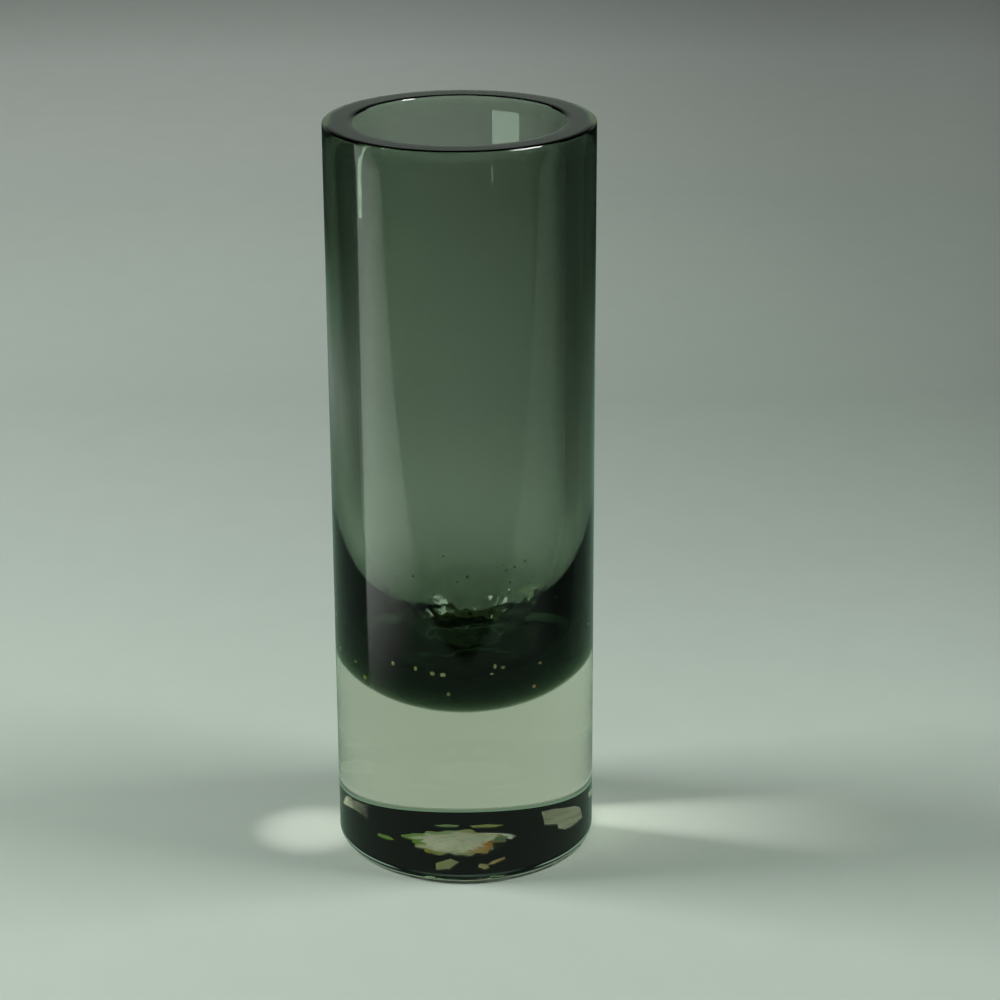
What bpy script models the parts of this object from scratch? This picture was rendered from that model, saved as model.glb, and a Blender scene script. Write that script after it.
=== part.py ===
"""Cased glass cylinder vase: a smoke-coloured cup fused inside a clear casing with a heavy foot.

Metres, +Z up. The origin is the centre of the foot, on the plane that the vase stands on.
"""
import math

import bmesh
import bpy

# Overall sizes
HEIGHT = 0.180
OUTER_RADIUS = 0.0315

# The clear outer glass: its wall at the rim, and how thick it is under the lowest point of the smoke glass
CASING_WALL = 0.0011
CLEAR_FOOT_THICKNESS = 0.0378

# The smoke-coloured glass: its wall at the rim, how much thinner the wall is just above the round bottom,
# its thickness under the hollow, and how far its round bottom rises
SMOKE_WALL = 0.0056
SMOKE_TAPER = 0.0026
SMOKE_BOTTOM_THICKNESS = 0.0087
SMOKE_BOTTOM_RISE = 0.0196

# The bottom of the hollow rises this far from its middle to the straight wall. Its outline is fuller than
# an ellipse, whose fullness is 2
HOLLOW_BOTTOM_RISE = 0.0445
HOLLOW_FULLNESS = 2.4

# Ground and polished edges
RIM_BEVEL = 0.0006
FOOT_EDGE_RADIUS = 0.0022

# The underside: a flat foot ring, a shallow ground hollow inside it and the polished pontil mark
FOOT_RING_WIDTH = 0.0020
UNDERSIDE_SLOPE_WIDTH = 0.0012
UNDERSIDE_DEPTH = 0.0008
PONTIL_RADIUS = 0.0075
PONTIL_DEPTH = 0.0015

# What is left of the paper label under the foot: its size, its place and its torn outline
LABEL_LENGTH = 0.0205
LABEL_WIDTH = 0.0047
LABEL_THICKNESS = 0.0002
LABEL_INSET = 0.0089
LABEL_BEARING = math.radians(45.7)
LABEL_TURN = math.radians(-64.8)
LABEL_OUTLINE = [
    (-0.50, -0.13), (0.03, -0.55), (0.15, -0.29), (0.34, -0.36), (0.48, -0.20),
    (0.47, 0.06), (0.32, 0.45), (0.14, 0.37), (-0.31, 0.20), (-0.50, 0.05),
]

# Spacing between pieces, and how finely the round shapes are divided
GAP = 0.0003
ROUND_STEPS = 64
BOWL_STEPS = 9
EDGE_STEPS = 3
MERGE_DISTANCE = 0.00001

# Radii and heights that follow from the sizes above
SEAT_RADIUS = OUTER_RADIUS - CASING_WALL
SMOKE_RADIUS = SEAT_RADIUS - GAP
HOLLOW_RADIUS = SMOKE_RADIUS - SMOKE_WALL
SMOKE_BOTTOM_Z = CLEAR_FOOT_THICKNESS
HOLLOW_BOTTOM_Z = SMOKE_BOTTOM_Z + SMOKE_BOTTOM_THICKNESS
FOOT_RADIUS = OUTER_RADIUS - FOOT_EDGE_RADIUS
RING_INNER_RADIUS = FOOT_RADIUS - FOOT_RING_WIDTH
UNDERSIDE_RADIUS = RING_INNER_RADIUS - UNDERSIDE_SLOPE_WIDTH


def finish(name, colour, roughness, transmission):
    """A Principled material with one colour and gloss, clear where transmission is 1."""
    material = bpy.data.materials.new(name)
    material.use_nodes = True
    shader = material.node_tree.nodes["Principled BSDF"]
    shader.inputs["Base Color"].default_value = (*colour, 1.0)
    shader.inputs["Roughness"].default_value = roughness
    shader.inputs["Metallic"].default_value = 0.0
    shader.inputs["Transmission Weight"].default_value = transmission
    return material


def bowl(radius, low_z, rise, fullness=2.0):
    """Profile points of a round bottom, from its lowest point on the axis out to its full radius."""
    points = []
    for i in range(BOWL_STEPS + 1):
        angle = 0.5 * math.pi * i / BOWL_STEPS
        out = abs(math.sin(angle)) ** (2.0 / fullness)
        up = 1.0 - abs(math.cos(angle)) ** (2.0 / fullness)
        points.append((radius * out, low_z + rise * up))
    return points


def foot_edge():
    """Profile points of the rounded edge of the foot, from the straight side down to the foot ring."""
    points = []
    for i in range(EDGE_STEPS + 1):
        angle = -0.5 * math.pi * i / EDGE_STEPS
        r = FOOT_RADIUS + FOOT_EDGE_RADIUS * math.cos(angle)
        points.append((r, FOOT_EDGE_RADIUS + FOOT_EDGE_RADIUS * math.sin(angle)))
    return points


def pontil_mark():
    """Profile points of the polished pontil mark, a spherical hollow, from its edge in to the axis."""
    sphere = (PONTIL_RADIUS ** 2 + PONTIL_DEPTH ** 2) / (2.0 * PONTIL_DEPTH)
    reach = math.asin(PONTIL_RADIUS / sphere)
    points = []
    for i in range(EDGE_STEPS + 1):
        angle = reach * (1.0 - i / EDGE_STEPS)
        z = UNDERSIDE_DEPTH + PONTIL_DEPTH - sphere * (1.0 - math.cos(angle))
        points.append((sphere * math.sin(angle), z))
    return points


def turned(name, profile, material):
    """Turn a profile that starts and ends on the axis into one closed body of glass."""
    mesh = bpy.data.meshes.new(name)
    mesh.from_pydata([(r, 0.0, z) for r, z in profile], [(i, i + 1) for i in range(len(profile) - 1)], [])
    mesh.materials.append(material)
    piece = bpy.data.objects.new(name, mesh)
    bpy.context.collection.objects.link(piece)
    screw = piece.modifiers.new("turn", "SCREW")
    screw.axis = "Z"
    screw.steps = ROUND_STEPS
    screw.render_steps = ROUND_STEPS
    screw.use_merge_vertices = True
    screw.merge_threshold = MERGE_DISTANCE
    screw.use_smooth_shade = True
    return piece


def smoke_liner():
    """The inner cup of smoke glass: the hollow, its share of the ground rim and a thick round bottom."""
    profile = bowl(HOLLOW_RADIUS, HOLLOW_BOTTOM_Z, HOLLOW_BOTTOM_RISE, HOLLOW_FULLNESS)
    profile.append((HOLLOW_RADIUS, HEIGHT - RIM_BEVEL))
    profile.append((HOLLOW_RADIUS + RIM_BEVEL, HEIGHT))
    profile.append((SMOKE_RADIUS, HEIGHT))
    profile.extend(reversed(bowl(SMOKE_RADIUS - SMOKE_TAPER, SMOKE_BOTTOM_Z, SMOKE_BOTTOM_RISE)))
    return turned("smoke_liner", profile, finish("smoke_glass", (0.30, 0.38, 0.31), 0.02, 1.0))


def clear_casing():
    """The clear outer glass: a thin wall round the liner and a heavy foot under it."""
    profile = bowl(SEAT_RADIUS - SMOKE_TAPER, SMOKE_BOTTOM_Z - GAP, SMOKE_BOTTOM_RISE + GAP)
    profile.append((SEAT_RADIUS, HEIGHT))
    profile.append((OUTER_RADIUS - RIM_BEVEL, HEIGHT))
    profile.append((OUTER_RADIUS, HEIGHT - RIM_BEVEL))
    profile.extend(foot_edge())
    profile.append((RING_INNER_RADIUS, 0.0))
    profile.append((UNDERSIDE_RADIUS, UNDERSIDE_DEPTH))
    profile.extend(pontil_mark())
    return turned("clear_casing", profile, finish("clear_glass", (0.86, 0.90, 0.85), 0.02, 1.0))


def label_remnant():
    """A torn strip of blank paper in the hollow of the underside, just clear of the glass."""
    bearing_r = UNDERSIDE_RADIUS - LABEL_INSET
    centre_x = bearing_r * math.cos(LABEL_BEARING)
    centre_y = bearing_r * math.sin(LABEL_BEARING)
    shape = bmesh.new()
    corners = []
    for along_share, across_share in LABEL_OUTLINE:
        along = along_share * LABEL_LENGTH
        across = across_share * LABEL_WIDTH
        x = centre_x + along * math.cos(LABEL_TURN) - across * math.sin(LABEL_TURN)
        y = centre_y + along * math.sin(LABEL_TURN) + across * math.cos(LABEL_TURN)
        corners.append(shape.verts.new((x, y, UNDERSIDE_DEPTH - GAP)))
    shape.faces.new(corners)
    mesh = bpy.data.meshes.new("label_remnant")
    shape.to_mesh(mesh)
    shape.free()
    mesh.materials.append(finish("label_paper", (0.62, 0.64, 0.55), 0.9, 0.0))
    piece = bpy.data.objects.new("label_remnant", mesh)
    bpy.context.collection.objects.link(piece)
    thickness = piece.modifiers.new("thickness", "SOLIDIFY")
    thickness.thickness = LABEL_THICKNESS
    thickness.offset = -1.0
    return piece


def main():
    """Clear the scene and make the three pieces of the vase."""
    for item in list(bpy.data.objects):
        bpy.data.objects.remove(item, do_unlink=True)
    smoke_liner()
    clear_casing()
    label_remnant()


main()
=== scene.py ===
# %% [markdown]
# A cased glass cylinder vase, made in cells. The real vase is blown: a gob of smoke-coloured glass is
# gathered on the pipe, dipped in clear glass, blown in a straight mould, and then cut, ground and
# polished at the rim and at the foot. The two glasses are fused, so light meets no surface between them.
# That decides how the pieces are made here: one clear body holds every surface where glass meets air, and
# the smoke colour is a second body sunk into it, which tints the light and bends nothing.

# %% Load the frame
import math

import bmesh
import bpy
from mathutils import Matrix, Vector


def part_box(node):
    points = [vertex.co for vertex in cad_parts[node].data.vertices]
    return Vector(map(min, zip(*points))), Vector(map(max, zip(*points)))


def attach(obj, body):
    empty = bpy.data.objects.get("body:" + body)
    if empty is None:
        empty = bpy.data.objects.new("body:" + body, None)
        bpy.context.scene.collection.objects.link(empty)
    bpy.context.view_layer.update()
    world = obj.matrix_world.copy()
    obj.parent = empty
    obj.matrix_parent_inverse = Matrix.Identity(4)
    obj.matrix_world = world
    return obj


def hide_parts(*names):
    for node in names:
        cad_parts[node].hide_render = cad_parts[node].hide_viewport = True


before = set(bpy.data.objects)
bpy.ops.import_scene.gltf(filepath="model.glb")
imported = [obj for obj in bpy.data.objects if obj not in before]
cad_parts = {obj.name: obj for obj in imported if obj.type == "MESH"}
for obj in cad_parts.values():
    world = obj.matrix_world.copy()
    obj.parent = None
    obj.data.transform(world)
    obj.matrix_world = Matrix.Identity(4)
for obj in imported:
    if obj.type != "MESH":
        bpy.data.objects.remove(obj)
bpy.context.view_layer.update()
casing_low, casing_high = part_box("clear_casing")
liner_low, liner_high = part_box("smoke_liner")
label_low, label_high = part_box("label_remnant")

# %% [markdown]
# The sizes come from the frame where it has them: the height and the outer radius from the casing, the
# smoke radius and its lowest point from the liner. The walls and the depth of the hollow are named here,
# as a glassmaker would write them beside a sketch.

# %% Sizes
HEIGHT = casing_high[2]
OUTER_RADIUS = casing_high[0]
SMOKE_RADIUS = liner_high[0]
SMOKE_BOTTOM_Z = liner_low[2]
SMOKE_WALL = 0.0056
SMOKE_TAPER = 0.0026
SMOKE_BOTTOM_THICKNESS = 0.0087
SMOKE_BOTTOM_RISE = 0.0196
HOLLOW_RADIUS = SMOKE_RADIUS - SMOKE_WALL
HOLLOW_BOTTOM_Z = SMOKE_BOTTOM_Z + SMOKE_BOTTOM_THICKNESS
HOLLOW_BOTTOM_RISE = 0.0445
HOLLOW_FULLNESS = 2.4
RIM_BEVEL = 0.0006
FOOT_EDGE_RADIUS = 0.0022
FOOT_RING_WIDTH = 0.0020
UNDERSIDE_SLOPE_WIDTH = 0.0012
UNDERSIDE_DEPTH = 0.0008
PONTIL_RADIUS = 0.0075
PONTIL_DEPTH = 0.0015
SINK = 0.00005
print("hollow radius, mm:", round(1000 * HOLLOW_RADIUS, 2))

# %% [markdown]
# Nodes are written with two small helpers. Wire stands for one output socket and can be used in sums, so
# a mask reads like a formula. Board adds any node in one call: first its settings, then what goes into
# it. The same two work in a material and in a Geometry Nodes tree.

# %% Node helpers


class Wire:
    """One output socket that takes part in sums."""

    def __init__(self, board, socket):
        self.board = board
        self.socket = socket

    def maths(self, operation, first, second=None):
        sockets = {0: first} if second is None else {0: first, 1: second}
        return self.board.add("ShaderNodeMath", {"operation": operation}, sockets)

    def __add__(self, other):
        return self.maths("ADD", self, other)

    def __radd__(self, other):
        return self.maths("ADD", other, self)

    def __sub__(self, other):
        return self.maths("SUBTRACT", self, other)

    def __rsub__(self, other):
        return self.maths("SUBTRACT", other, self)

    def __mul__(self, other):
        return self.maths("MULTIPLY", self, other)

    def __rmul__(self, other):
        return self.maths("MULTIPLY", other, self)

    def __truediv__(self, other):
        return self.maths("DIVIDE", self, other)

    def __mod__(self, other):
        return self.maths("MODULO", self, other)

    def floor(self):
        return self.maths("FLOOR", self)

    def above(self, low, high):
        """0 below low, 1 above high, smooth between."""
        settings = {"interpolation_type": "SMOOTHSTEP", "clamp": True}
        sockets = {"Value": self, "From Min": low, "From Max": high}
        return self.board.add("ShaderNodeMapRange", settings, sockets)


class Board:
    """A node tree that is filled by one method."""

    def __init__(self, tree):
        self.tree = tree

    def add(self, kind, settings=None, sockets=None, out=0):
        node = self.tree.nodes.new(kind)
        for name, value in (settings or {}).items():
            if name == "stops":
                ramp = node.color_ramp
                while len(ramp.elements) < len(value):
                    ramp.elements.new(0.5)
                for stop, (place, colour) in zip(ramp.elements, value):
                    stop.position = place
                    stop.color = (*colour, 1.0)
            else:
                setattr(node, name, value)
        for name, value in (sockets or {}).items():
            target = node.inputs[name]
            if isinstance(value, Wire):
                self.tree.links.new(value.socket, target)
            else:
                target.default_value = value
        return Wire(self, node.outputs[out]) if len(node.outputs) else node


# %% [markdown]
# Every round body of the vase is turned, as on a lathe: a profile line, drawn once, goes round the axis.
# The Screw modifier could do that. Geometry Nodes do it here, because the same tree can also give blown
# glass its faint unevenness: each ring of points is pushed in and out by about a hundredth of a
# millimetre.

# %% A lathe in Geometry Nodes
WAVE_STRETCH = (60.0, 60.0, 14.0)
RIPPLE_SCALE = 260.0
RIPPLE_TOP = (0.055, 0.072)
RIPPLE_RIM = (0.019, 0.0235)
MERGE_DISTANCE = 0.000001


def lathe_tree():
    tree = bpy.data.node_groups.new("lathe", "GeometryNodeTree")
    tree.is_modifier = True
    face = tree.interface
    face.new_socket("Profile", in_out="INPUT", socket_type="NodeSocketGeometry")
    face.new_socket("Steps", in_out="INPUT", socket_type="NodeSocketInt")
    face.new_socket("Unevenness", in_out="INPUT", socket_type="NodeSocketFloat")
    face.new_socket("Ripple", in_out="INPUT", socket_type="NodeSocketFloat")
    face.new_socket("Seed", in_out="INPUT", socket_type="NodeSocketFloat")
    face.new_socket("Glass", in_out="INPUT", socket_type="NodeSocketMaterial")
    face.new_socket("Body", in_out="OUTPUT", socket_type="NodeSocketGeometry")
    board = Board(tree)
    given = tree.nodes.new("NodeGroupInput")
    profile, steps, uneven, ripple, seed, glass = (Wire(board, given.outputs[i]) for i in range(6))
    count = board.add("GeometryNodeAttributeDomainSize", {"component": "MESH"}, {"Geometry": profile})
    sides = {"Size X": 1.0, "Size Y": 1.0, "Vertices X": steps + 1.0, "Vertices Y": count}
    grid = board.add("GeometryNodeMeshGrid", None, sides)
    index = board.add("GeometryNodeInputIndex")
    position = board.add("GeometryNodeInputPosition")
    point = board.add(
        "GeometryNodeSampleIndex",
        {"data_type": "FLOAT_VECTOR", "domain": "POINT"},
        {"Geometry": profile, "Value": position, "Index": (index + 0.5) % count},
    )
    turn = ((index + 0.5) / count).floor() * (2.0 * math.pi) / steps
    turned = {"Vector": point, "Angle": turn}
    ring = board.add("ShaderNodeVectorRotate", {"rotation_type": "Z_AXIS"}, turned)
    stretched = board.add("ShaderNodeVectorMath", {"operation": "MULTIPLY"}, {0: ring, 1: WAVE_STRETCH})
    broad = {"Vector": stretched, "W": seed, "Scale": 1.0, "Detail": 1.0}
    noise = board.add("ShaderNodeTexNoise", {"noise_dimensions": "4D"}, broad)
    outward = board.add("ShaderNodeVectorMath", {"operation": "MULTIPLY"}, {0: ring, 1: (1.0, 1.0, 0.0)})
    push = board.add(
        "ShaderNodeVectorMath", {"operation": "SCALE"}, {0: outward, "Scale": (noise - 0.5) * uneven}
    )
    uneven_ring = board.add("ShaderNodeVectorMath", {"operation": "ADD"}, {0: ring, 1: push})
    z = board.add("ShaderNodeSeparateXYZ", None, {"Vector": ring}, "Z")
    reach = board.add("ShaderNodeVectorMath", {"operation": "LENGTH"}, {0: outward}, "Value")
    low = z.above(HOLLOW_BOTTOM_Z - 0.001, HOLLOW_BOTTOM_Z - 0.0002) * (1.0 - z.above(*RIPPLE_TOP))
    floor_of_hollow = low * (1.0 - reach.above(*RIPPLE_RIM))
    fine = {"Vector": ring, "W": seed, "Scale": RIPPLE_SCALE, "Detail": 1.5}
    waves = board.add("ShaderNodeTexNoise", {"noise_dimensions": "4D"}, fine)
    lift = board.add("ShaderNodeCombineXYZ", None, {"Z": (waves - 0.5) * floor_of_hollow * ripple})
    placed = board.add("ShaderNodeVectorMath", {"operation": "ADD"}, {0: uneven_ring, 1: lift})
    moved = board.add("GeometryNodeSetPosition", None, {"Geometry": grid, "Position": placed})
    seam = {"Geometry": moved, "Distance": MERGE_DISTANCE}
    closed = board.add("GeometryNodeMergeByDistance", None, seam)
    smooth = board.add("GeometryNodeSetShadeSmooth", None, {"Geometry": closed})
    whole = board.add("GeometryNodeRealizeInstances", None, {"Geometry": smooth})
    shown = board.add("GeometryNodeSetMaterial", None, {"Geometry": whole, "Material": glass})
    result = tree.nodes.new("NodeGroupOutput")
    tree.links.new(shown.socket, result.inputs[0])
    return tree


LATHE = lathe_tree()
print("lathe:", len(LATHE.nodes), "nodes")

# %% [markdown]
# To turn a body, its profile becomes a mesh line with the lathe tree on it. The evaluated result is
# copied as a plain mesh, so that nothing about it is left to compute, and its faces are turned outwards
# if the profile ran the other way. Edges sharper than 28 degrees stay crisp.

# %% Turning a body
SHARP_ANGLE = math.radians(28.0)


def turn_body(name, profile, steps, unevenness, ripple, seed, glass):
    """A closed turned body from profile points that start and end on the axis."""
    line = bpy.data.meshes.new(name + "_profile")
    line.from_pydata([(r, 0.0, z) for r, z in profile], [(i, i + 1) for i in range(len(profile) - 1)], [])
    holder = bpy.data.objects.new(name + "_profile", line)
    bpy.context.collection.objects.link(holder)
    modifier = holder.modifiers.new("lathe", "NODES")
    modifier.node_group = LATHE
    values = {"Steps": steps, "Unevenness": unevenness, "Ripple": ripple, "Seed": seed, "Glass": glass}
    for item in LATHE.interface.items_tree:
        if item.item_type == "SOCKET" and item.name in values:
            modifier[item.identifier] = values[item.name]
    bpy.context.view_layer.update()
    turned = holder.evaluated_get(bpy.context.evaluated_depsgraph_get())
    mesh = bpy.data.meshes.new_from_object(turned)
    mesh.name = name
    bpy.data.objects.remove(holder)
    bm = bmesh.new()
    bm.from_mesh(mesh)
    if bm.calc_volume(signed=True) < 0.0:
        bmesh.ops.reverse_faces(bm, faces=bm.faces)
    volume = bm.calc_volume(signed=True)
    bm.to_mesh(mesh)
    bm.free()
    mesh.set_sharp_from_angle(angle=SHARP_ANGLE)
    piece = bpy.data.objects.new(name, mesh)
    bpy.context.collection.objects.link(piece)
    print(name, len(mesh.polygons), "faces,", round(volume * 1e6, 1), "cm3")
    return piece


# %% [markdown]
# The profiles. Round bottoms are quarter ellipses, fuller where a fullness above 2 is asked for. Edges
# are arcs, and everything else is straight.

# %% Profile helpers


def bowl(radius, low_z, rise, steps, fullness=2.0):
    """Points of a round bottom from its lowest point on the axis out to its full radius."""
    power = 2.0 / fullness
    turn = [0.5 * math.pi * i / steps for i in range(steps + 1)]
    out = [radius * math.sin(a) ** power for a in turn]
    up = [low_z + rise * (1.0 - abs(math.cos(a)) ** power) for a in turn]
    return list(zip(out, up))


def arc(centre, radius, start, end, steps):
    """Points of an arc between two angles in degrees."""
    turn = [math.radians(start + (end - start) * i / steps) for i in range(steps + 1)]
    return [(centre[0] + radius * math.cos(a), centre[1] + radius * math.sin(a)) for a in turn]


def straight(start, end, steps):
    """Points between two ends, without the first."""
    share = [i / steps for i in range(1, steps + 1)]
    return [(start[0] + (end[0] - start[0]) * s, start[1] + (end[1] - start[1]) * s) for s in share]


def dimple(radius, edge_z, depth, steps):
    """A spherical hollow from its edge in to the axis."""
    sphere = (radius * radius + depth * depth) / (2.0 * depth)
    reach = math.asin(radius / sphere)
    turn = [reach * (1.0 - i / steps) for i in range(steps + 1)]
    return [(sphere * math.sin(a), edge_z + depth - sphere * (1.0 - math.cos(a))) for a in turn]


# %% [markdown]
# Clear glass is colourless only when it is thin. The foot is thick enough to show the faint green of
# ordinary soda glass, so the body carries a weak absorption, which deepens with the length of the path.
# The polish is not perfect: faint smears, and a matt, finely scratched face where the rim and the foot
# were ground.

# %% Clear glass


def fresh_material(name):
    material = bpy.data.materials.new(name)
    material.use_nodes = True
    material.node_tree.nodes.clear()
    return material, Board(material.node_tree)


def object_point(board, stretch):
    """Object coordinates, stretched along each axis."""
    place = board.add("ShaderNodeTexCoord", None, None, "Object")
    return board.add("ShaderNodeVectorMath", {"operation": "MULTIPLY"}, {0: place, 1: stretch})


def noise_at(board, stretch, scale, detail=3.0):
    point = object_point(board, stretch)
    return board.add("ShaderNodeTexNoise", None, {"Vector": point, "Scale": scale, "Detail": detail})


def height_of(board):
    place = board.add("ShaderNodeTexCoord", None, None, "Object")
    return board.add("ShaderNodeSeparateXYZ", None, {"Vector": place}, "Z")


SODA_TINT = (0.43, 0.50, 0.22, 1.0)
SODA_DENSITY = 10.0
SMEAR_SCALE = 90.0
SMEAR_ROUGHNESS = 0.004
GRIND_SCALE = 1400.0
CORD_SCALE = 130.0
CORD_DEPTH = 0.00004


def clear_glass():
    material, board = fresh_material("clear_glass")
    z = height_of(board)
    smears = noise_at(board, (1.0, 1.0, 0.35), SMEAR_SCALE, 4.0).above(0.52, 0.72)
    grind = noise_at(board, (1.0, 1.0, 1.0), GRIND_SCALE, 2.0)
    rim = z.above(HEIGHT - 0.0003, HEIGHT - 0.0001)
    foot = 1.0 - z.above(0.0001, 0.0004)
    roughness = SMEAR_ROUGHNESS * smears + rim * (0.05 + 0.08 * grind) + foot * (0.10 + 0.25 * grind)
    cords = noise_at(board, (1.0, 1.0, 0.12), CORD_SCALE, 2.0)
    bump = board.add("ShaderNodeBump", None, {"Strength": 0.25, "Distance": CORD_DEPTH, "Height": cords})
    surface = board.add(
        "ShaderNodeBsdfPrincipled",
        None,
        {
            "Base Color": (1.0, 1.0, 1.0, 1.0),
            "Roughness": roughness,
            "IOR": 1.5,
            "Transmission Weight": 1.0,
            "Normal": bump,
        },
    )
    tint = board.add("ShaderNodeVolumeAbsorption", None, {"Color": SODA_TINT, "Density": SODA_DENSITY})
    board.add("ShaderNodeOutputMaterial", None, {"Surface": surface, "Volume": tint})
    return material


CLEAR_GLASS = clear_glass()
print("clear glass:", len(CLEAR_GLASS.node_tree.nodes), "nodes")

# %% [markdown]
# The smoke glass is the same glass with metal oxides melted in. It takes about a third of the green light
# and more of the red and blue in a wall of 4 mm, and most of all three in the thick bottom. It is fused
# to the clear glass and has the same index, so its own surface bends nothing: an index of 1 says that.

# %% Smoke glass
SMOKE_TINT = (0.35, 0.455, 0.35, 1.0)
SMOKE_DENSITY = 200.0


def smoke_glass():
    material, board = fresh_material("smoke_glass")
    surface = board.add(
        "ShaderNodeBsdfPrincipled",
        None,
        {"Base Color": (1.0, 1.0, 1.0, 1.0), "Roughness": 0.0, "IOR": 1.0, "Transmission Weight": 1.0},
    )
    tint = board.add("ShaderNodeVolumeAbsorption", None, {"Color": SMOKE_TINT, "Density": SMOKE_DENSITY})
    board.add("ShaderNodeOutputMaterial", None, {"Surface": surface, "Volume": tint})
    return material


SMOKE_GLASS = smoke_glass()
GREEN_LEFT = math.exp(-(1.0 - SMOKE_TINT[1]) * SMOKE_DENSITY * 0.004)
print("green light left after 4 mm of smoke glass:", round(GREEN_LEFT, 2))

# %% [markdown]
# The clear body holds every surface where glass meets air: the hollow, the rim with its two softened
# edges, the outside, the rounded edge of the foot, and the shallow ground underside. It could be cut from
# cylinders with booleans, but one turned profile gives the same form with clean rings and no seams. The
# outside is uneven by about a hundredth of a millimetre, and the floor of the hollow ripples by up to
# about half a millimetre, as glass does where the mould never touched it.

# %% The clear body
STEPS = 192
UNEVENNESS = 0.002
RIPPLE = 0.0024


def body_profile():
    points = bowl(HOLLOW_RADIUS, HOLLOW_BOTTOM_Z, HOLLOW_BOTTOM_RISE, 40, HOLLOW_FULLNESS)
    low_rim = HEIGHT - RIM_BEVEL
    points += straight(points[-1], (HOLLOW_RADIUS, low_rim), 24)
    points += arc((HOLLOW_RADIUS + RIM_BEVEL, low_rim), RIM_BEVEL, 180.0, 90.0, 3)[1:]
    points += straight(points[-1], (OUTER_RADIUS - RIM_BEVEL, HEIGHT), 4)
    points += arc((OUTER_RADIUS - RIM_BEVEL, low_rim), RIM_BEVEL, 90.0, 0.0, 3)[1:]
    points += straight(points[-1], (OUTER_RADIUS, FOOT_EDGE_RADIUS), 36)
    foot = OUTER_RADIUS - FOOT_EDGE_RADIUS
    points += arc((foot, FOOT_EDGE_RADIUS), FOOT_EDGE_RADIUS, 0.0, -90.0, 12)[1:]
    ring = foot - FOOT_RING_WIDTH
    points.append((ring, 0.0))
    points.append((ring - UNDERSIDE_SLOPE_WIDTH, UNDERSIDE_DEPTH))
    points += straight(points[-1], (PONTIL_RADIUS, UNDERSIDE_DEPTH), 8)
    points += dimple(PONTIL_RADIUS, UNDERSIDE_DEPTH, PONTIL_DEPTH, 16)[1:]
    return points


body = turn_body("clear_body", body_profile(), STEPS, UNEVENNESS, RIPPLE, 1.0, CLEAR_GLASS)
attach(body, "root")
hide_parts("clear_casing")

# %% [markdown]
# The smoke cup is the gather of smoke glass, and it is only a tint. Its profile follows the hollow, a
# hair deeper in the glass, so that a ray enters the clear body first. Its wall is thickest at the rim and
# thins towards its round bottom.

# %% The smoke cup


def smoke_profile():
    points = bowl(HOLLOW_RADIUS + SINK, HOLLOW_BOTTOM_Z - SINK, HOLLOW_BOTTOM_RISE, 40, HOLLOW_FULLNESS)
    points += straight(points[-1], (HOLLOW_RADIUS + SINK, HEIGHT - RIM_BEVEL - SINK), 24)
    points.append((HOLLOW_RADIUS + RIM_BEVEL + SINK, HEIGHT - SINK))
    points.append((SMOKE_RADIUS, HEIGHT - SINK))
    low_radius = SMOKE_RADIUS - SMOKE_TAPER
    points += straight(points[-1], (low_radius, SMOKE_BOTTOM_Z + SMOKE_BOTTOM_RISE), 24)
    points += list(reversed(bowl(low_radius, SMOKE_BOTTOM_Z, SMOKE_BOTTOM_RISE, 32)))[1:]
    return points


smoke = turn_body("smoke_cup", smoke_profile(), STEPS, UNEVENNESS, RIPPLE, 1.0, SMOKE_GLASS)
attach(smoke, "root")
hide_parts("smoke_liner")

# %% [markdown]
# The pontil mark: where the iron rod held the foot, the glass was ground and never polished. Ground glass
# looks pale grey, because every grain of it scatters light. The grain is noise in the colour and the bump.
# The colours at the edge are a painted rainbow: a ramp that runs round the mark stands in for the light
# that the edge splits into colours. Beyond the edge the ramp alone gives the colour, so the chips and
# seeds that share this finish are painted rainbow too.

# %% Ground glass and its painted rainbow
GRIND_RADIUS = 0.0074
GRIND_STRETCH = 1.38
GRIND_LOBES = ((5, 0.070, 0.6), (9, 0.055, 2.0), (17, 0.045, 4.1))
GRIND_SHIFT = -0.0016
GRIND_LIFT = 0.0001
GRIND_THICKNESS = 0.0001
GRAIN_SCALE = 900.0
CLOUD_SCALE = 330.0
GROUND_GREYS = [(0.25, (0.58, 0.68, 0.46)), (0.48, (0.90, 0.97, 0.76)), (0.7, (1.0, 1.0, 0.9))]
PAINTED_RAINBOW_COLOURS = [
    (0.0, (0.30, 0.55, 0.10)),
    (0.12, (0.55, 0.55, 0.12)),
    (0.26, (0.62, 0.70, 0.42)),
    (0.42, (0.75, 0.42, 0.10)),
    (0.50, (0.20, 0.42, 0.30)),
    (0.58, (0.72, 0.50, 0.12)),
    (0.76, (0.55, 0.75, 0.40)),
    (1.0, (0.30, 0.55, 0.10)),
]


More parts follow.
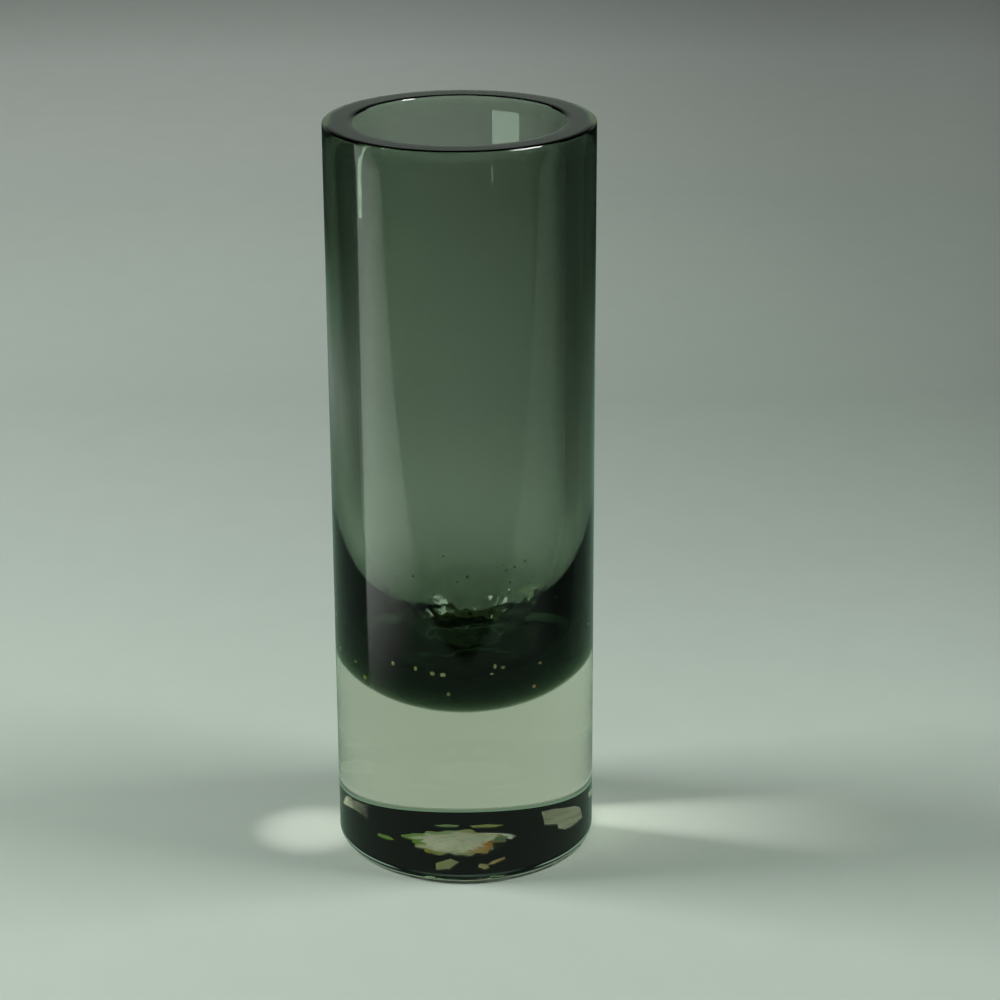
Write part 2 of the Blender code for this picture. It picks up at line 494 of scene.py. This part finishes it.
def ground_glass_painted_rainbow():
    material, board = fresh_material("ground_glass_painted_rainbow")
    place = board.add("ShaderNodeTexCoord", None, None, "Object")
    x = board.add("ShaderNodeSeparateXYZ", None, {"Vector": place}, "X") - GRIND_SHIFT
    y = board.add("ShaderNodeSeparateXYZ", None, {"Vector": place}, "Y") / GRIND_STRETCH
    reach = board.add("ShaderNodeMath", {"operation": "SQRT"}, {0: x * x + y * y}) / GRIND_RADIUS
    grain = noise_at(board, (1.0, 1.0, 1.0), GRAIN_SCALE, 4.0)
    clouds = noise_at(board, (1.0, 1.0, 1.0), CLOUD_SCALE, 2.0)
    shade = 0.62 * clouds + 0.38 * grain
    grey = board.add("ShaderNodeValToRGB", {"stops": GROUND_GREYS}, {"Fac": shade})
    # Painted rainbow: a ramp of colours round the mark, painted where the edge would split the light into
    # colours.
    turn = board.add("ShaderNodeMath", {"operation": "ARCTAN2"}, {0: y, 1: x}) / (2.0 * math.pi) + 0.5
    painted_rainbow = board.add("ShaderNodeValToRGB", {"stops": PAINTED_RAINBOW_COLOURS}, {"Fac": turn})
    edge = (reach + 1.1 * (clouds - 0.5)).above(0.74, 0.92)
    colour = board.add("ShaderNodeMix", {"data_type": "RGBA"}, {"Factor": edge, "A": grey, "B": painted_rainbow}, 2)
    bump = board.add("ShaderNodeBump", None, {"Strength": 0.6, "Distance": 0.0002, "Height": grain})
    surface = board.add(
        "ShaderNodeBsdfPrincipled", None, {"Base Color": colour, "Roughness": 0.7, "Normal": bump}
    )
    board.add("ShaderNodeOutputMaterial", None, {"Surface": surface})
    return material


GROUND_GLASS_PAINTED_RAINBOW = ground_glass_painted_rainbow()
print("ground glass:", len(GROUND_GLASS_PAINTED_RAINBOW.node_tree.nodes), "nodes")

# %% [markdown]
# The mark itself starts as a turned disc. Its outline is then made ragged with three waves, stretched,
# and laid just above the underside, point by point, so that it follows the shallow hollow there.

# %% The pontil mark


def underside(reach):
    """Height of the underside of the glass at a distance from the axis."""
    return UNDERSIDE_DEPTH + PONTIL_DEPTH * max(0.0, 1.0 - (reach / PONTIL_RADIUS) ** 2)


def ragged(angle):
    """How far the outline runs out at an angle, as a share of its radius."""
    return 1.0 + sum(size * math.sin(count * angle + start) for count, size, start in GRIND_LOBES)


def shape_mark(mesh):
    """Give a flat round disc the ragged, stretched outline and lay it just above the underside."""
    for point in mesh.vertices:
        x, y, z = point.co
        share = math.hypot(x, y) / GRIND_RADIUS
        grow = 1.0 + share * (ragged(math.atan2(y, x)) - 1.0)
        x = x * grow + GRIND_SHIFT
        y = y * grow * GRIND_STRETCH
        point.co = (x, y, z + underside(math.hypot(x, y)))


MARK_RINGS = 16
MARK_STEPS = 96
shares = [i / MARK_RINGS for i in range(MARK_RINGS + 1)]
under = [(GRIND_RADIUS * t, GRIND_LIFT) for t in shares]
over = [(GRIND_RADIUS * t, GRIND_LIFT + GRIND_THICKNESS) for t in reversed(shares)]
pontil = turn_body("pontil_mark", under + over, MARK_STEPS, 0.0, 0.0, 2.0, GROUND_GLASS_PAINTED_RAINBOW)
shape_mark(pontil.data)
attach(pontil, "root")
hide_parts("clear_casing")

# %% [markdown]
# Grinding also leaves a few small chips in the foot. They lie just inside the underside, and they are
# painted glints as well: pale matt flakes, coloured by the painted rainbow of the ground-glass finish,
# that stand in for small bright glints under the foot. Each is a thin five-sided flake, given by its
# place, its half length and half width, and its turn in degrees.

# %% Chips and painted glints
CHIP_HEIGHT = 0.0010
CHIP_THICKNESS = 0.00008
GLINT_CHIP_TABLE = [
    (-0.0042, -0.0180, 0.0050, 0.0022, 68.0),
    (0.0036, -0.0196, 0.0024, 0.0012, 105.0),
    (0.0060, -0.0160, 0.0036, 0.0009, 62.0),
    (-0.0022, 0.0146, 0.0016, 0.0012, 10.0),
    (0.0024, 0.0140, 0.0022, 0.0014, -8.0),
    (-0.0128, 0.0010, 0.0012, 0.0022, 15.0),
]


def glint_chips():
    bm = bmesh.new()
    for x, y, half_length, half_width, turn in GLINT_CHIP_TABLE:
        cast = Matrix.Translation((x, y, CHIP_HEIGHT)) @ Matrix.Rotation(math.radians(turn), 4, "Z")
        shape = cast @ Matrix.Diagonal((half_length, half_width, CHIP_THICKNESS, 1.0))
        form = {"segments": 5, "radius1": 1.0, "radius2": 0.8, "depth": 1.0}
        bmesh.ops.create_cone(bm, cap_ends=True, matrix=shape, **form)
    mesh = bpy.data.meshes.new("foot_glint_chips")
    bm.to_mesh(mesh)
    bm.free()
    mesh.materials.append(GROUND_GLASS_PAINTED_RAINBOW)
    piece = bpy.data.objects.new("foot_glint_chips", mesh)
    bpy.context.collection.objects.link(piece)
    print("chips:", len(GLINT_CHIP_TABLE))
    return piece


glint_flakes = glint_chips()
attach(glint_flakes, "root")
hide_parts("clear_casing")

# %% [markdown]
# Seeds: tiny bubbles and specks caught in the clear glass just outside the smoke cup, in a belt round the
# bottom of the hollow. Points are spread by a rule, so this is Geometry Nodes: a random turn, height and
# size for each, a small stretched ball on each point. Each seed is a matt pale fleck in the ground-glass
# finish with its painted rainbow: a painted glint, standing in for small bright glints in the bottom of
# the glass.

# %% Seeds and painted glints


def seed_tree():
    tree = bpy.data.node_groups.new("seeds", "GeometryNodeTree")
    tree.is_modifier = True
    face = tree.interface
    face.new_socket("Geometry", in_out="INPUT", socket_type="NodeSocketGeometry")
    face.new_socket("Count", in_out="INPUT", socket_type="NodeSocketInt")
    face.new_socket("Radius", in_out="INPUT", socket_type="NodeSocketFloat")
    face.new_socket("Low", in_out="INPUT", socket_type="NodeSocketFloat")
    face.new_socket("High", in_out="INPUT", socket_type="NodeSocketFloat")
    face.new_socket("Size", in_out="INPUT", socket_type="NodeSocketFloat")
    face.new_socket("Seed", in_out="INPUT", socket_type="NodeSocketInt")
    face.new_socket("Glass", in_out="INPUT", socket_type="NodeSocketMaterial")
    face.new_socket("Body", in_out="OUTPUT", socket_type="NodeSocketGeometry")
    board = Board(tree)
    given = tree.nodes.new("NodeGroupInput")
    count, radius, low, high, size, seed, glass = (Wire(board, given.outputs[i]) for i in range(1, 8))

    def chance(first, last, step):
        sockets = {2: first, 3: last, "Seed": seed + step}
        return board.add("FunctionNodeRandomValue", {"data_type": "FLOAT"}, sockets, 1)

    turn = chance(0.0, 2.0 * math.pi, 0.0)
    across = board.add("ShaderNodeMath", {"operation": "COSINE"}, {0: turn}) * radius
    along = board.add("ShaderNodeMath", {"operation": "SINE"}, {0: turn}) * radius
    place = board.add("ShaderNodeCombineXYZ", None, {"X": across, "Y": along, "Z": chance(low, high, 1.0)})
    points = board.add("GeometryNodePoints", None, {"Count": count, "Position": place})
    ball = board.add("GeometryNodeMeshIcoSphere", None, {"Radius": size, "Subdivisions": 2})
    scale = board.add(
        "ShaderNodeCombineXYZ", None, {"X": chance(0.5, 1.0, 2.0), "Y": 0.5, "Z": chance(0.3, 0.9, 3.0)}
    )
    spin = board.add("ShaderNodeCombineXYZ", None, {"Z": turn + 0.5 * math.pi})
    sockets = {"Points": points, "Instance": ball, "Rotation": spin, "Scale": scale}
    placed = board.add("GeometryNodeInstanceOnPoints", None, sockets)
    whole = board.add("GeometryNodeRealizeInstances", None, {"Geometry": placed})
    shown = board.add("GeometryNodeSetMaterial", None, {"Geometry": whole, "Material": glass})
    result = tree.nodes.new("NodeGroupOutput")
    tree.links.new(shown.socket, result.inputs[0])
    return tree


def grown(name, tree, values):
    """A mesh object made by a Geometry Nodes tree from nothing but its inputs."""
    holder = bpy.data.objects.new(name + "_start", bpy.data.meshes.new(name + "_start"))
    bpy.context.collection.objects.link(holder)
    modifier = holder.modifiers.new(name, "NODES")
    modifier.node_group = tree
    for item in tree.interface.items_tree:
        if item.item_type == "SOCKET" and item.name in values:
            modifier[item.identifier] = values[item.name]
    bpy.context.view_layer.update()
    mesh = bpy.data.meshes.new_from_object(holder.evaluated_get(bpy.context.evaluated_depsgraph_get()))
    mesh.name = name
    bpy.data.objects.remove(holder)
    piece = bpy.data.objects.new(name, mesh)
    bpy.context.collection.objects.link(piece)
    print(name, len(mesh.polygons), "faces")
    return piece


SEED_DEPTH = 0.0022
seed_values = {
    "Count": 34,
    "Radius": OUTER_RADIUS - SEED_DEPTH,
    "Low": SMOKE_BOTTOM_Z + 0.010,
    "High": SMOKE_BOTTOM_Z + 0.023,
    "Size": 0.0007,
    "Seed": 4,
    "Glass": GROUND_GLASS_PAINTED_RAINBOW,
}
seeds = grown("seeds", seed_tree(), seed_values)
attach(seeds, "root")
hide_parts("clear_casing")

# %% [markdown]
# What is left of a paper label, glued under the foot. Glue wets the glass, so there is no air between
# them and the paper shows through the foot. With air between, the underside would mirror and hide it. The
# piece takes its outline from the frame and is lifted into the glass by a hair.

# %% The label
LABEL_TOP = UNDERSIDE_DEPTH + 0.00025
FIBRE_SCALE = 700.0
STAIN_SCALE = 260.0
PAPER_TONES = [(0.3, (0.40, 0.42, 0.30)), (0.48, (0.74, 0.78, 0.62)), (0.7, (0.88, 0.90, 0.78))]


def label_paper():
    material, board = fresh_material("label_paper")
    fibres = noise_at(board, (1.0, 3.0, 1.0), FIBRE_SCALE, 5.0)
    stains = noise_at(board, (1.0, 1.0, 1.0), STAIN_SCALE, 3.0)
    blend = 0.55 * stains + 0.45 * fibres
    tone = board.add("ShaderNodeValToRGB", {"stops": PAPER_TONES}, {"Fac": blend})
    bump = board.add("ShaderNodeBump", None, {"Strength": 0.5, "Distance": 0.0001, "Height": fibres})
    paper = {"Base Color": tone, "Roughness": 0.9, "Normal": bump}
    surface = board.add("ShaderNodeBsdfPrincipled", None, paper)
    board.add("ShaderNodeOutputMaterial", None, {"Surface": surface})
    return material


def label_piece():
    source = bpy.data.objects["label_remnant"]
    mesh = source.data.copy()
    mesh.name = "label_paper"
    mesh.transform(source.matrix_world)
    mesh.transform(Matrix.Translation((0.0, 0.0, LABEL_TOP - label_high[2])))
    mesh.materials.clear()
    mesh.materials.append(label_paper())
    piece = bpy.data.objects.new("label_paper", mesh)
    bpy.context.collection.objects.link(piece)
    print("label:", len(mesh.polygons), "faces")
    return piece


label = label_piece()
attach(label, "root")
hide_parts("label_remnant")

# %% [markdown]
# The stage. The floor is a wide sheet of pale paper. Its grey varies slowly, and that is painted shade:
# the uneven light of lamps that stand close is painted into its colour, as a ramp from front to back, and
# a falloff to both sides behind the vase.

# %% The painted shade of the floor
FLOOR_SIDE = 6.0
FALLOFF_START = -0.2
FALLOFF_LENGTH = 1.4
PAINTED_FALLOFF_TONES = [
    (0.0, (0.52, 0.610, 0.528)),
    (0.14, (0.52, 0.610, 0.528)),
    (0.27, (0.445, 0.517, 0.455)),
    (0.38, (0.415, 0.475, 0.425)),
    (0.58, (0.60, 0.68, 0.61)),
    (0.80, (0.93, 1.0, 0.94)),
]


def floor_place(board):
    place = board.add("ShaderNodeTexCoord", None, None, "Object")
    x = board.add("ShaderNodeSeparateXYZ", None, {"Vector": place}, "X")
    y = board.add("ShaderNodeSeparateXYZ", None, {"Vector": place}, "Y")
    return x, y


def painted_floor_falloff(board, y):
    """Painted shade in the grey of the paper: lighter in front, darkest past the vase, lighter again far
    back.
    """
    depth = (y - FALLOFF_START) / FALLOFF_LENGTH
    return board.add("ShaderNodeValToRGB", {"stops": PAINTED_FALLOFF_TONES}, {"Fac": depth})


def painted_floor_shade(x, y):
    """Painted shade: how the light falls off to both sides behind the vase. All places are in metres from
    its axis.
    """
    side = 1.0 - 0.26 * (x.above(-0.12, 0.24) * y.above(0.0, 0.30))
    spread = 0.115 + 0.17 * y
    outside = 0.66 * (0.0 - x - spread).above(-0.01, 0.15) + 0.36 * (x - spread).above(-0.01, 0.15)
    return side * (1.0 - outside * y.above(0.03, 0.10))


print("floor side, m:", FLOOR_SIDE)

# %% [markdown]
# Thick glass gathers light on the table beside its foot. Tracing those bright patches would take minutes
# of sampling, so the floor glows faintly there instead.

# %% The gathered light
PATCH_GLOW = 0.26
PATCH_COLOUR = (0.92, 1.0, 0.84, 1.0)


def gathered_light(x, y):
    """Two bright patches beside the foot: a wedge that opens to the right, and an oval on the left.

    The wedge starts at the edge of the foot, 30 mm to the right, and fades out over the next 85 mm.
    The oval is centred 39 mm to the left.
    """
    right_reach = x - 0.030
    right_line = (y - 0.0045 + 0.10 * right_reach) / (0.0045 + 0.16 * right_reach)
    right_patch = (1.0 - (right_line * right_line).above(0.0, 2.2)) * right_reach.above(-0.004, 0.006)
    right_patch = right_patch * (1.0 - right_reach.above(0.004, 0.085))
    left_x = (x + 0.039) / 0.013
    left_y = (y + 0.002) / 0.012
    left_patch = 1.0 - (left_x * left_x + left_y * left_y).above(0.0, 1.6)
    return PATCH_GLOW * right_patch + PATCH_GLOW * left_patch


print("glow of the patches:", PATCH_GLOW)

# %% [markdown]
# The sheet itself is one large face.

# %% The floor


def floor_material():
    material, board = fresh_material("floor_paper_painted_shade")
    x, y = floor_place(board)
    grain = noise_at(board, (1.0, 1.0, 1.0), 60.0, 6.0)
    # The paper's colour carries painted shade: the painted falloff times a faint random grain.
    shade = painted_floor_shade(x, y) * (0.97 + 0.06 * grain)
    tone = painted_floor_falloff(board, y)
    paper = board.add("ShaderNodeVectorMath", {"operation": "SCALE"}, {0: tone, "Scale": shade})
    surface = board.add(
        "ShaderNodeBsdfPrincipled",
        None,
        {
            "Base Color": paper,
            "Roughness": 0.8,
            "Emission Color": PATCH_COLOUR,
            "Emission Strength": gathered_light(x, y),
        },
    )
    board.add("ShaderNodeOutputMaterial", None, {"Surface": surface})
    return material


def flat_sheet(name, corners, material):
    mesh = bpy.data.meshes.new(name)
    mesh.from_pydata(corners, [], [tuple(range(len(corners)))])
    mesh.materials.append(material)
    sheet = bpy.data.objects.new(name, mesh)
    bpy.context.collection.objects.link(sheet)
    return sheet


def square(z):
    half = FLOOR_SIDE / 2
    return [(-half, -half, z), (half, -half, z), (half, half, z), (-half, half, z)]


flat_sheet("floor", square(0.0), floor_material())
print("floor nodes:", len(bpy.data.materials["floor_paper_painted_shade"].node_tree.nodes))

# %% [markdown]
# A polished cylinder mirrors a narrow slice of the room all along its side, and that slice makes the
# light and dark bands by which we see glass. A real studio shapes it with cards. Here one glowing card
# lies on the floor and shows only to mirror rays: a painted reflection of the table, which shapes the
# bands and changes nothing else.

# %% The painted reflection of the table


def painted_reflection_level(board, x, y):
    """How bright the painted reflection of the table is: left and right of the vase, in front of it, and
    fading away.
    """
    reach = x * x + y * y
    left = (0.0 - x).above(0.10, 0.22)
    right = x.above(0.10, 0.20)
    middle = (1.0 - left) * (1.0 - right)

    # left of the vase: a bright sheet that stops at a line level with the foot, and a dim one behind it
    behind = (y + 0.12 * x).above(-0.035, -0.025)
    sheet = 0.75 + 1.25 * y.above(-0.26, 0.0)
    fade = 1.0 - reach.above(0.06, 0.36)
    dim = 0.06 + 0.50 * fade * (0.35 + 0.65 * reach.above(0.05, 0.14))
    left_level = (1.0 - behind) * sheet + behind * dim

    # right of the vase: a weaker sheet up to a slanting line, and almost nothing beyond it
    beyond = (y - 0.94 * x).above(-0.135, -0.12)
    weak = 0.12 + 0.26 * (1.0 - y.above(-0.10, -0.02))
    faint = 0.03 + 0.16 * (1.0 - reach.above(0.05, 0.30))
    right_level = weak * (1.0 - beyond) + beyond * faint

    # under and behind the vase, and the dark edge of the table towards the viewer
    middle_level = 0.04 + 0.24 * (1.0 - reach.above(0.12, 0.5))
    sideways = board.add("ShaderNodeMath", {"operation": "ABSOLUTE"}, {0: x})
    front = (y + 0.15 * sideways).above(-0.168, -0.156)
    return front * (left * left_level + right * right_level + middle * middle_level)


REFLECTION_DIM_TONE = (0.66, 1.0, 0.76, 1.0)
REFLECTION_BRIGHT_TONE = (0.92, 1.0, 0.93, 1.0)


def painted_reflection_material():
    material, board = fresh_material("painted_table_reflection")
    x, y = floor_place(board)
    level = painted_reflection_level(board, x, y)
    sockets = {"Factor": level.above(0.2, 0.6), "A": REFLECTION_DIM_TONE, "B": REFLECTION_BRIGHT_TONE}
    tone = board.add("ShaderNodeMix", {"data_type": "RGBA"}, sockets, 2)
    # The card glows, though it is no lamp: this emission is the painted reflection.
    glow = board.add("ShaderNodeEmission", None, {"Color": tone, "Strength": level})
    board.add("ShaderNodeOutputMaterial", None, {"Surface": glow})
    return material


def only_mirrored(card):
    """Leave a card out of everything but mirror reflections."""
    card.visible_camera = False
    card.visible_diffuse = False
    card.visible_shadow = False
    card.visible_transmission = False


CARD_LIFT = 0.0005


def painted_reflection_card():
    card = flat_sheet("painted_table_reflection", square(CARD_LIFT), painted_reflection_material())
    only_mirrored(card)


painted_reflection_card()
print("mirrored table lifted, mm:", 1000 * CARD_LIFT)

# %% [markdown]
# Inside the mouth the rear wall shows a short bright streak, with a thin one beside it: a painted
# reflection of a window. Two glowing curved strips opposite that wall, seen by nothing but mirror rays,
# paint them there.

# %% The painted window streak


def glow_material(name, colour, strength):
    material, board = fresh_material(name)
    glow = board.add("ShaderNodeEmission", None, {"Color": colour, "Strength": strength})
    board.add("ShaderNodeOutputMaterial", None, {"Surface": glow})
    return material


STREAK_GAP = 0.001
STREAK_STEPS = 8
STREAK_TAPER = 0.9
PAINTED_STREAK_COLOUR = (0.76, 1.0, 0.78, 1.0)
PAINTED_STREAK_STRENGTH = 3.6
# First and last bearing in degrees, top below the rim, and the lower edge below the rim at both bearings
STREAKS = (
    (-121.0, -76.0, 0.0105, 0.0240, 0.0240),
    (-125.0, -112.0, 0.0105, 0.0350, 0.0350 - (0.0350 - 0.0105) * STREAK_TAPER),
)


def painted_streak_strip():
    """The painted reflection of a window on the inside of the rear wall, as glowing curved strips facing
    it.
    """
    mesh = bpy.data.meshes.new("painted_streak_strip")
    radius = HOLLOW_RADIUS - STREAK_GAP
    bm = bmesh.new()
    for first, last, top_drop, first_drop, last_drop in STREAKS:
        columns = []
        for step in range(STREAK_STEPS + 1):
            share = step / STREAK_STEPS
            bearing = math.radians(first + (last - first) * share)
            x = radius * math.sin(bearing)
            y = radius * math.cos(bearing)
            bottom = HEIGHT - first_drop - (last_drop - first_drop) * share
            columns.append((bm.verts.new((x, y, bottom)), bm.verts.new((x, y, HEIGHT - top_drop))))
        for one, two in zip(columns, columns[1:]):
            bm.faces.new((one[0], two[0], two[1], one[1]))
    bm.to_mesh(mesh)
    bm.free()
    mesh.materials.append(glow_material("painted_window_glow", PAINTED_STREAK_COLOUR, PAINTED_STREAK_STRENGTH))
    strip = bpy.data.objects.new("painted_streak_strip", mesh)
    bpy.context.collection.objects.link(strip)
    only_mirrored(strip)
    print("window streak:", len(mesh.polygons), "faces")


painted_streak_strip()

# %% [markdown]
# Two soft lamps, a stronger one from the left and a weaker one from the right, and a world that is grey
# near the horizon and almost black from about twenty degrees up. The black keeps the upper edges of the
# glass dark.

# %% Lamps and studio air


def softbox(name, place, aim, side, power):
    """A square white lamp, its side in metres and its power in watts, that faces a point."""
    light = bpy.data.lights.new(name, "AREA")
    light.shape = "SQUARE"
    light.size = side
    light.energy = power
    lamp = bpy.data.objects.new(name, light)
    lamp.location = place
    lamp.rotation_euler = (Vector(aim) - Vector(place)).to_track_quat("-Z", "Y").to_euler()
    bpy.context.collection.objects.link(lamp)


softbox("left_softbox", (-0.72, 0.05, 0.62), (0.0, 0.1, 0.0), 0.35, 6.3)
softbox("right_softbox", (0.50, -0.05, 0.85), (0.0, 0.0, 0.03), 0.30, 4.3)

AIR_GREY = (0.29, 0.335, 0.295)
AIR_BLACK = (0.01, 0.01, 0.01)


def studio_air():
    world = bpy.data.worlds.new("studio_air")
    world.use_nodes = True
    world.node_tree.nodes.clear()
    board = Board(world.node_tree)
    ray = board.add("ShaderNodeTexCoord", None, None, "Generated")
    up = board.add("ShaderNodeSeparateXYZ", None, {"Vector": ray}, "Z")
    shade = board.add(
        "ShaderNodeValToRGB",
        {"stops": [(0.0, AIR_GREY), (0.24, AIR_GREY), (0.34, AIR_BLACK), (1.0, AIR_BLACK)]},
        {"Fac": up},
    )
    glow = board.add("ShaderNodeBackground", None, {"Color": shade, "Strength": 1.0})
    board.add("ShaderNodeOutputWorld", None, {"Surface": glow})
    bpy.context.scene.world = world
    print("lamps:", len(bpy.data.lights))


studio_air()

# %% [markdown]
# The film: plain tones, with the darkest ones pressed down slightly, so that the thick smoke glass is as
# deep as it is to the eye.

# %% Film
view = bpy.context.scene.view_settings
view.view_transform = "Standard"
view.look = "None"
view.use_curve_mapping = True
curves = view.curve_mapping
film = curves.curves[3]
for dark, shown in ((0.02, 0.012), (0.06, 0.045), (0.14, 0.125), (0.3, 0.3)):
    film.points.new(dark, shown)
curves.update()
print("film points:", len(film.points))

# %% [markdown]
# A long lens, about 70 cm away and looking down by about twenty degrees, so that the mouth shows as a
# flat oval. The camera's three directions are worked out from its pitch, yaw and roll.

# %% Camera
CAMERA_PLACE = (0.0, -0.64274, 0.33019)
PITCH = math.radians(20.733)
YAW = math.radians(0.792)
ROLL = math.radians(-0.278)
LENS = 103.0
forward = Vector((math.sin(YAW) * math.cos(PITCH), math.cos(YAW) * math.cos(PITCH), -math.sin(PITCH)))
level = Vector((math.cos(YAW), -math.sin(YAW), 0.0))
rise = level.cross(forward)
right = level * math.cos(ROLL) + rise * math.sin(ROLL)
top = rise * math.cos(ROLL) - level * math.sin(ROLL)
camera_data = bpy.data.cameras.new("camera")
camera_data.lens = LENS
camera_data.sensor_width = 36.0
camera = bpy.data.objects.new("camera", camera_data)
bpy.context.collection.objects.link(camera)
camera_turn = Matrix((right, top, -forward)).transposed().to_4x4()
camera.matrix_world = Matrix.Translation(CAMERA_PLACE) @ camera_turn
bpy.context.scene.camera = camera
print("lens, mm:", LENS)

# %% [markdown]
# A ray crosses the walls of a vase many times before it leaves, so it needs more bounces than usual. With
# too few, the deep glass turns black.

# %% Light paths
paths = bpy.context.scene.cycles
paths.max_bounces = 40
paths.transmission_bounces = 40
paths.glossy_bounces = 16
paths.transparent_max_bounces = 16
paths.caustics_refractive = True
paths.caustics_reflective = False
print("light bounces:", paths.max_bounces)
